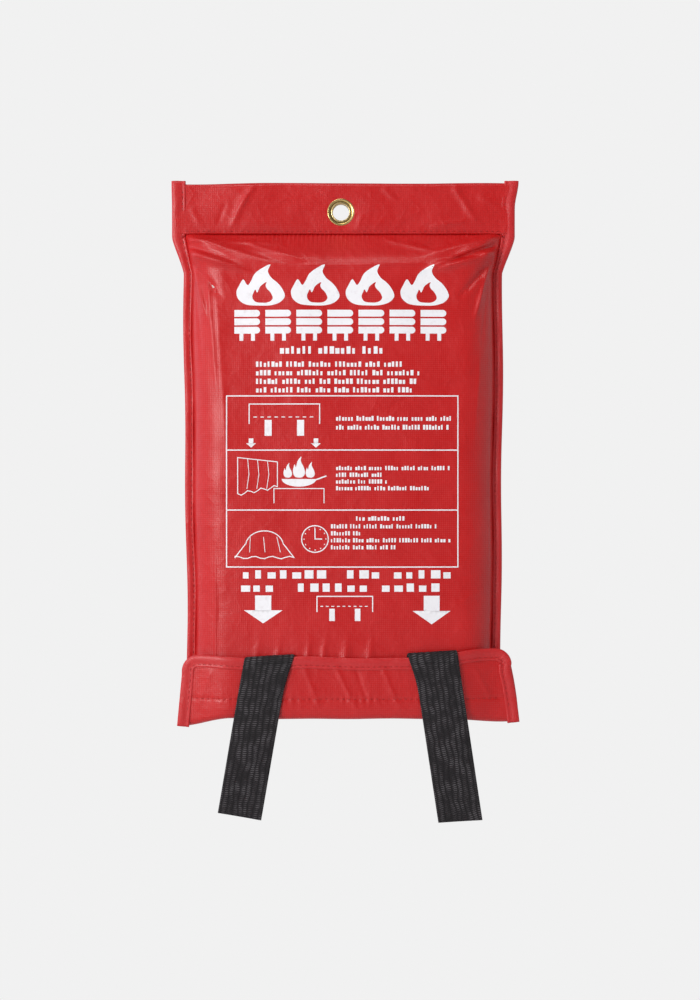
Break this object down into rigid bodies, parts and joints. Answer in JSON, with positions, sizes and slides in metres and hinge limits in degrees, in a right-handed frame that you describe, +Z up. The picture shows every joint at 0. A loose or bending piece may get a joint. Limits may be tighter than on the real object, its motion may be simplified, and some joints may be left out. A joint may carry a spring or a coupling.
{
  "type": "fire blanket",
  "caption": "Folded fire blanket in a soft hanging pouch with a metal eyelet, a closing flap and hanging webbing pull tapes.",
  "frame": {"origin": "on the axis of the eyelet's hole, in the plane of the pouch's flat back", "axes": "+Z up towards the header's top edge, +Y into the wall, so the printed front faces -Y; +X to the viewer's right"},
  "size_m": [0.2002, 0.0257, 0.367],
  "materials": {
    "pouch_cloth": "satin",
    "binding_tape": "satin",
    "red_thread": "matte",
    "brass": "polished",
    "hook_and_loop": "matte",
    "white_ink": "matte",
    "glass_cloth": "matte",
    "white_thread": "matte",
    "black_webbing": "matte",
    "black_thread": "matte"
  },
  "bodies": {
    "pouch": {"back_panel": "pouch_cloth", "front_panel": "pouch_cloth", "header_band": "pouch_cloth", "side_binding_left": "binding_tape", "side_binding_right": "binding_tape", "eyelet": "brass", "eyelet_washer": "brass", "loop_strip": "hook_and_loop", "header_stitching": "red_thread", "side_binding_stitching_left": "red_thread", "side_binding_stitching_right": "red_thread", "printed_graphics": "white_ink"},
    "flap_base": {"flap_base": "pouch_cloth"},
    "flap": {"closing_flap": "pouch_cloth", "flap_binding": "binding_tape", "hook_strip": "hook_and_loop", "flap_binding_stitching": "red_thread", "hook_strip_stitching": "red_thread"},
    "blanket": {"blanket": "glass_cloth", "blanket_hem_stitching": "white_thread", "tape_root_left": "black_webbing", "tape_root_right": "black_webbing", "tape_bartack_left": "black_thread", "tape_bartack_right": "black_thread"},
    "tape_inner_left": {"tape_inner_left": "black_webbing"},
    "tape_bridge_left": {"tape_bridge_left": "black_webbing"},
    "tape_upper_left": {"tape_upper_left": "black_webbing"},
    "tape_tail_left": {"tape_tail_left": "black_webbing"},
    "tape_inner_right": {"tape_inner_right": "black_webbing"},
    "tape_bridge_right": {"tape_bridge_right": "black_webbing"},
    "tape_upper_right": {"tape_upper_right": "black_webbing"},
    "tape_tail_right": {"tape_tail_right": "black_webbing"}
  },
  "joints": [
    {"name": "blanket_slide", "type": "slide", "parent": "pouch", "child": "blanket", "axis": [0, 0, -1], "range_m": [0, 0.028]},
    {"name": "flap_base_fold", "type": "hinge", "parent": "pouch", "child": "flap_base", "pos_m": [0, -0.00035, -0.291], "axis": [1, 0, 0], "range_deg": [0, 90]},
    {"name": "flap_fold", "type": "hinge", "parent": "flap_base", "child": "flap", "pos_m": [0, -0.02205, -0.291], "axis": [1, 0, 0], "range_deg": [0, 90]},
    {"name": "tape_foot_left", "type": "hinge", "parent": "blanket", "child": "tape_inner_left", "pos_m": [0, -0.0201, -0.289], "axis": [1, 0, 0], "range_deg": [0, 180]},
    {"name": "tape_over_inner_left", "type": "hinge", "parent": "tape_inner_left", "child": "tape_bridge_left", "pos_m": [0, -0.0201, -0.2534], "axis": [-1, 0, 0], "range_deg": [0, 90]},
    {"name": "tape_over_outer_left", "type": "hinge", "parent": "tape_bridge_left", "child": "tape_upper_left", "pos_m": [0, -0.024, -0.2534], "axis": [-1, 0, 0], "range_deg": [0, 90]},
    {"name": "tape_tail_lift_left", "type": "hinge", "parent": "tape_upper_left", "child": "tape_tail_left", "pos_m": [0, -0.0246, -0.2654], "axis": [-1, 0, 0], "range_deg": [0, 150]},
    {"name": "tape_foot_right", "type": "hinge", "parent": "blanket", "child": "tape_inner_right", "pos_m": [0, -0.0201, -0.289], "axis": [1, 0, 0], "range_deg": [0, 180]},
    {"name": "tape_over_inner_right", "type": "hinge", "parent": "tape_inner_right", "child": "tape_bridge_right", "pos_m": [0, -0.0201, -0.2534], "axis": [-1, 0, 0], "range_deg": [0, 90]},
    {"name": "tape_over_outer_right", "type": "hinge", "parent": "tape_bridge_right", "child": "tape_upper_right", "pos_m": [0, -0.024, -0.2534], "axis": [-1, 0, 0], "range_deg": [0, 90]},
    {"name": "tape_tail_lift_right", "type": "hinge", "parent": "tape_upper_right", "child": "tape_tail_right", "pos_m": [0, -0.0246, -0.2654], "axis": [-1, 0, 0], "range_deg": [0, 150]}
  ],
  "couplings": [
    {"joint": "flap_base_fold", "follows": "blanket_slide", "rad_per_m": 56.09},
    {"joint": "flap_fold", "follows": "blanket_slide", "rad_per_m": 56.09},
    {"joint": "tape_foot_left", "follows": "blanket_slide", "rad_per_m": 112.18},
    {"joint": "tape_over_inner_left", "follows": "blanket_slide", "rad_per_m": 56.09},
    {"joint": "tape_over_outer_left", "follows": "blanket_slide", "rad_per_m": 56.09},
    {"joint": "tape_foot_right", "follows": "blanket_slide", "rad_per_m": 112.18},
    {"joint": "tape_over_inner_right", "follows": "blanket_slide", "rad_per_m": 56.09},
    {"joint": "tape_over_outer_right", "follows": "blanket_slide", "rad_per_m": 56.09}
  ]
}
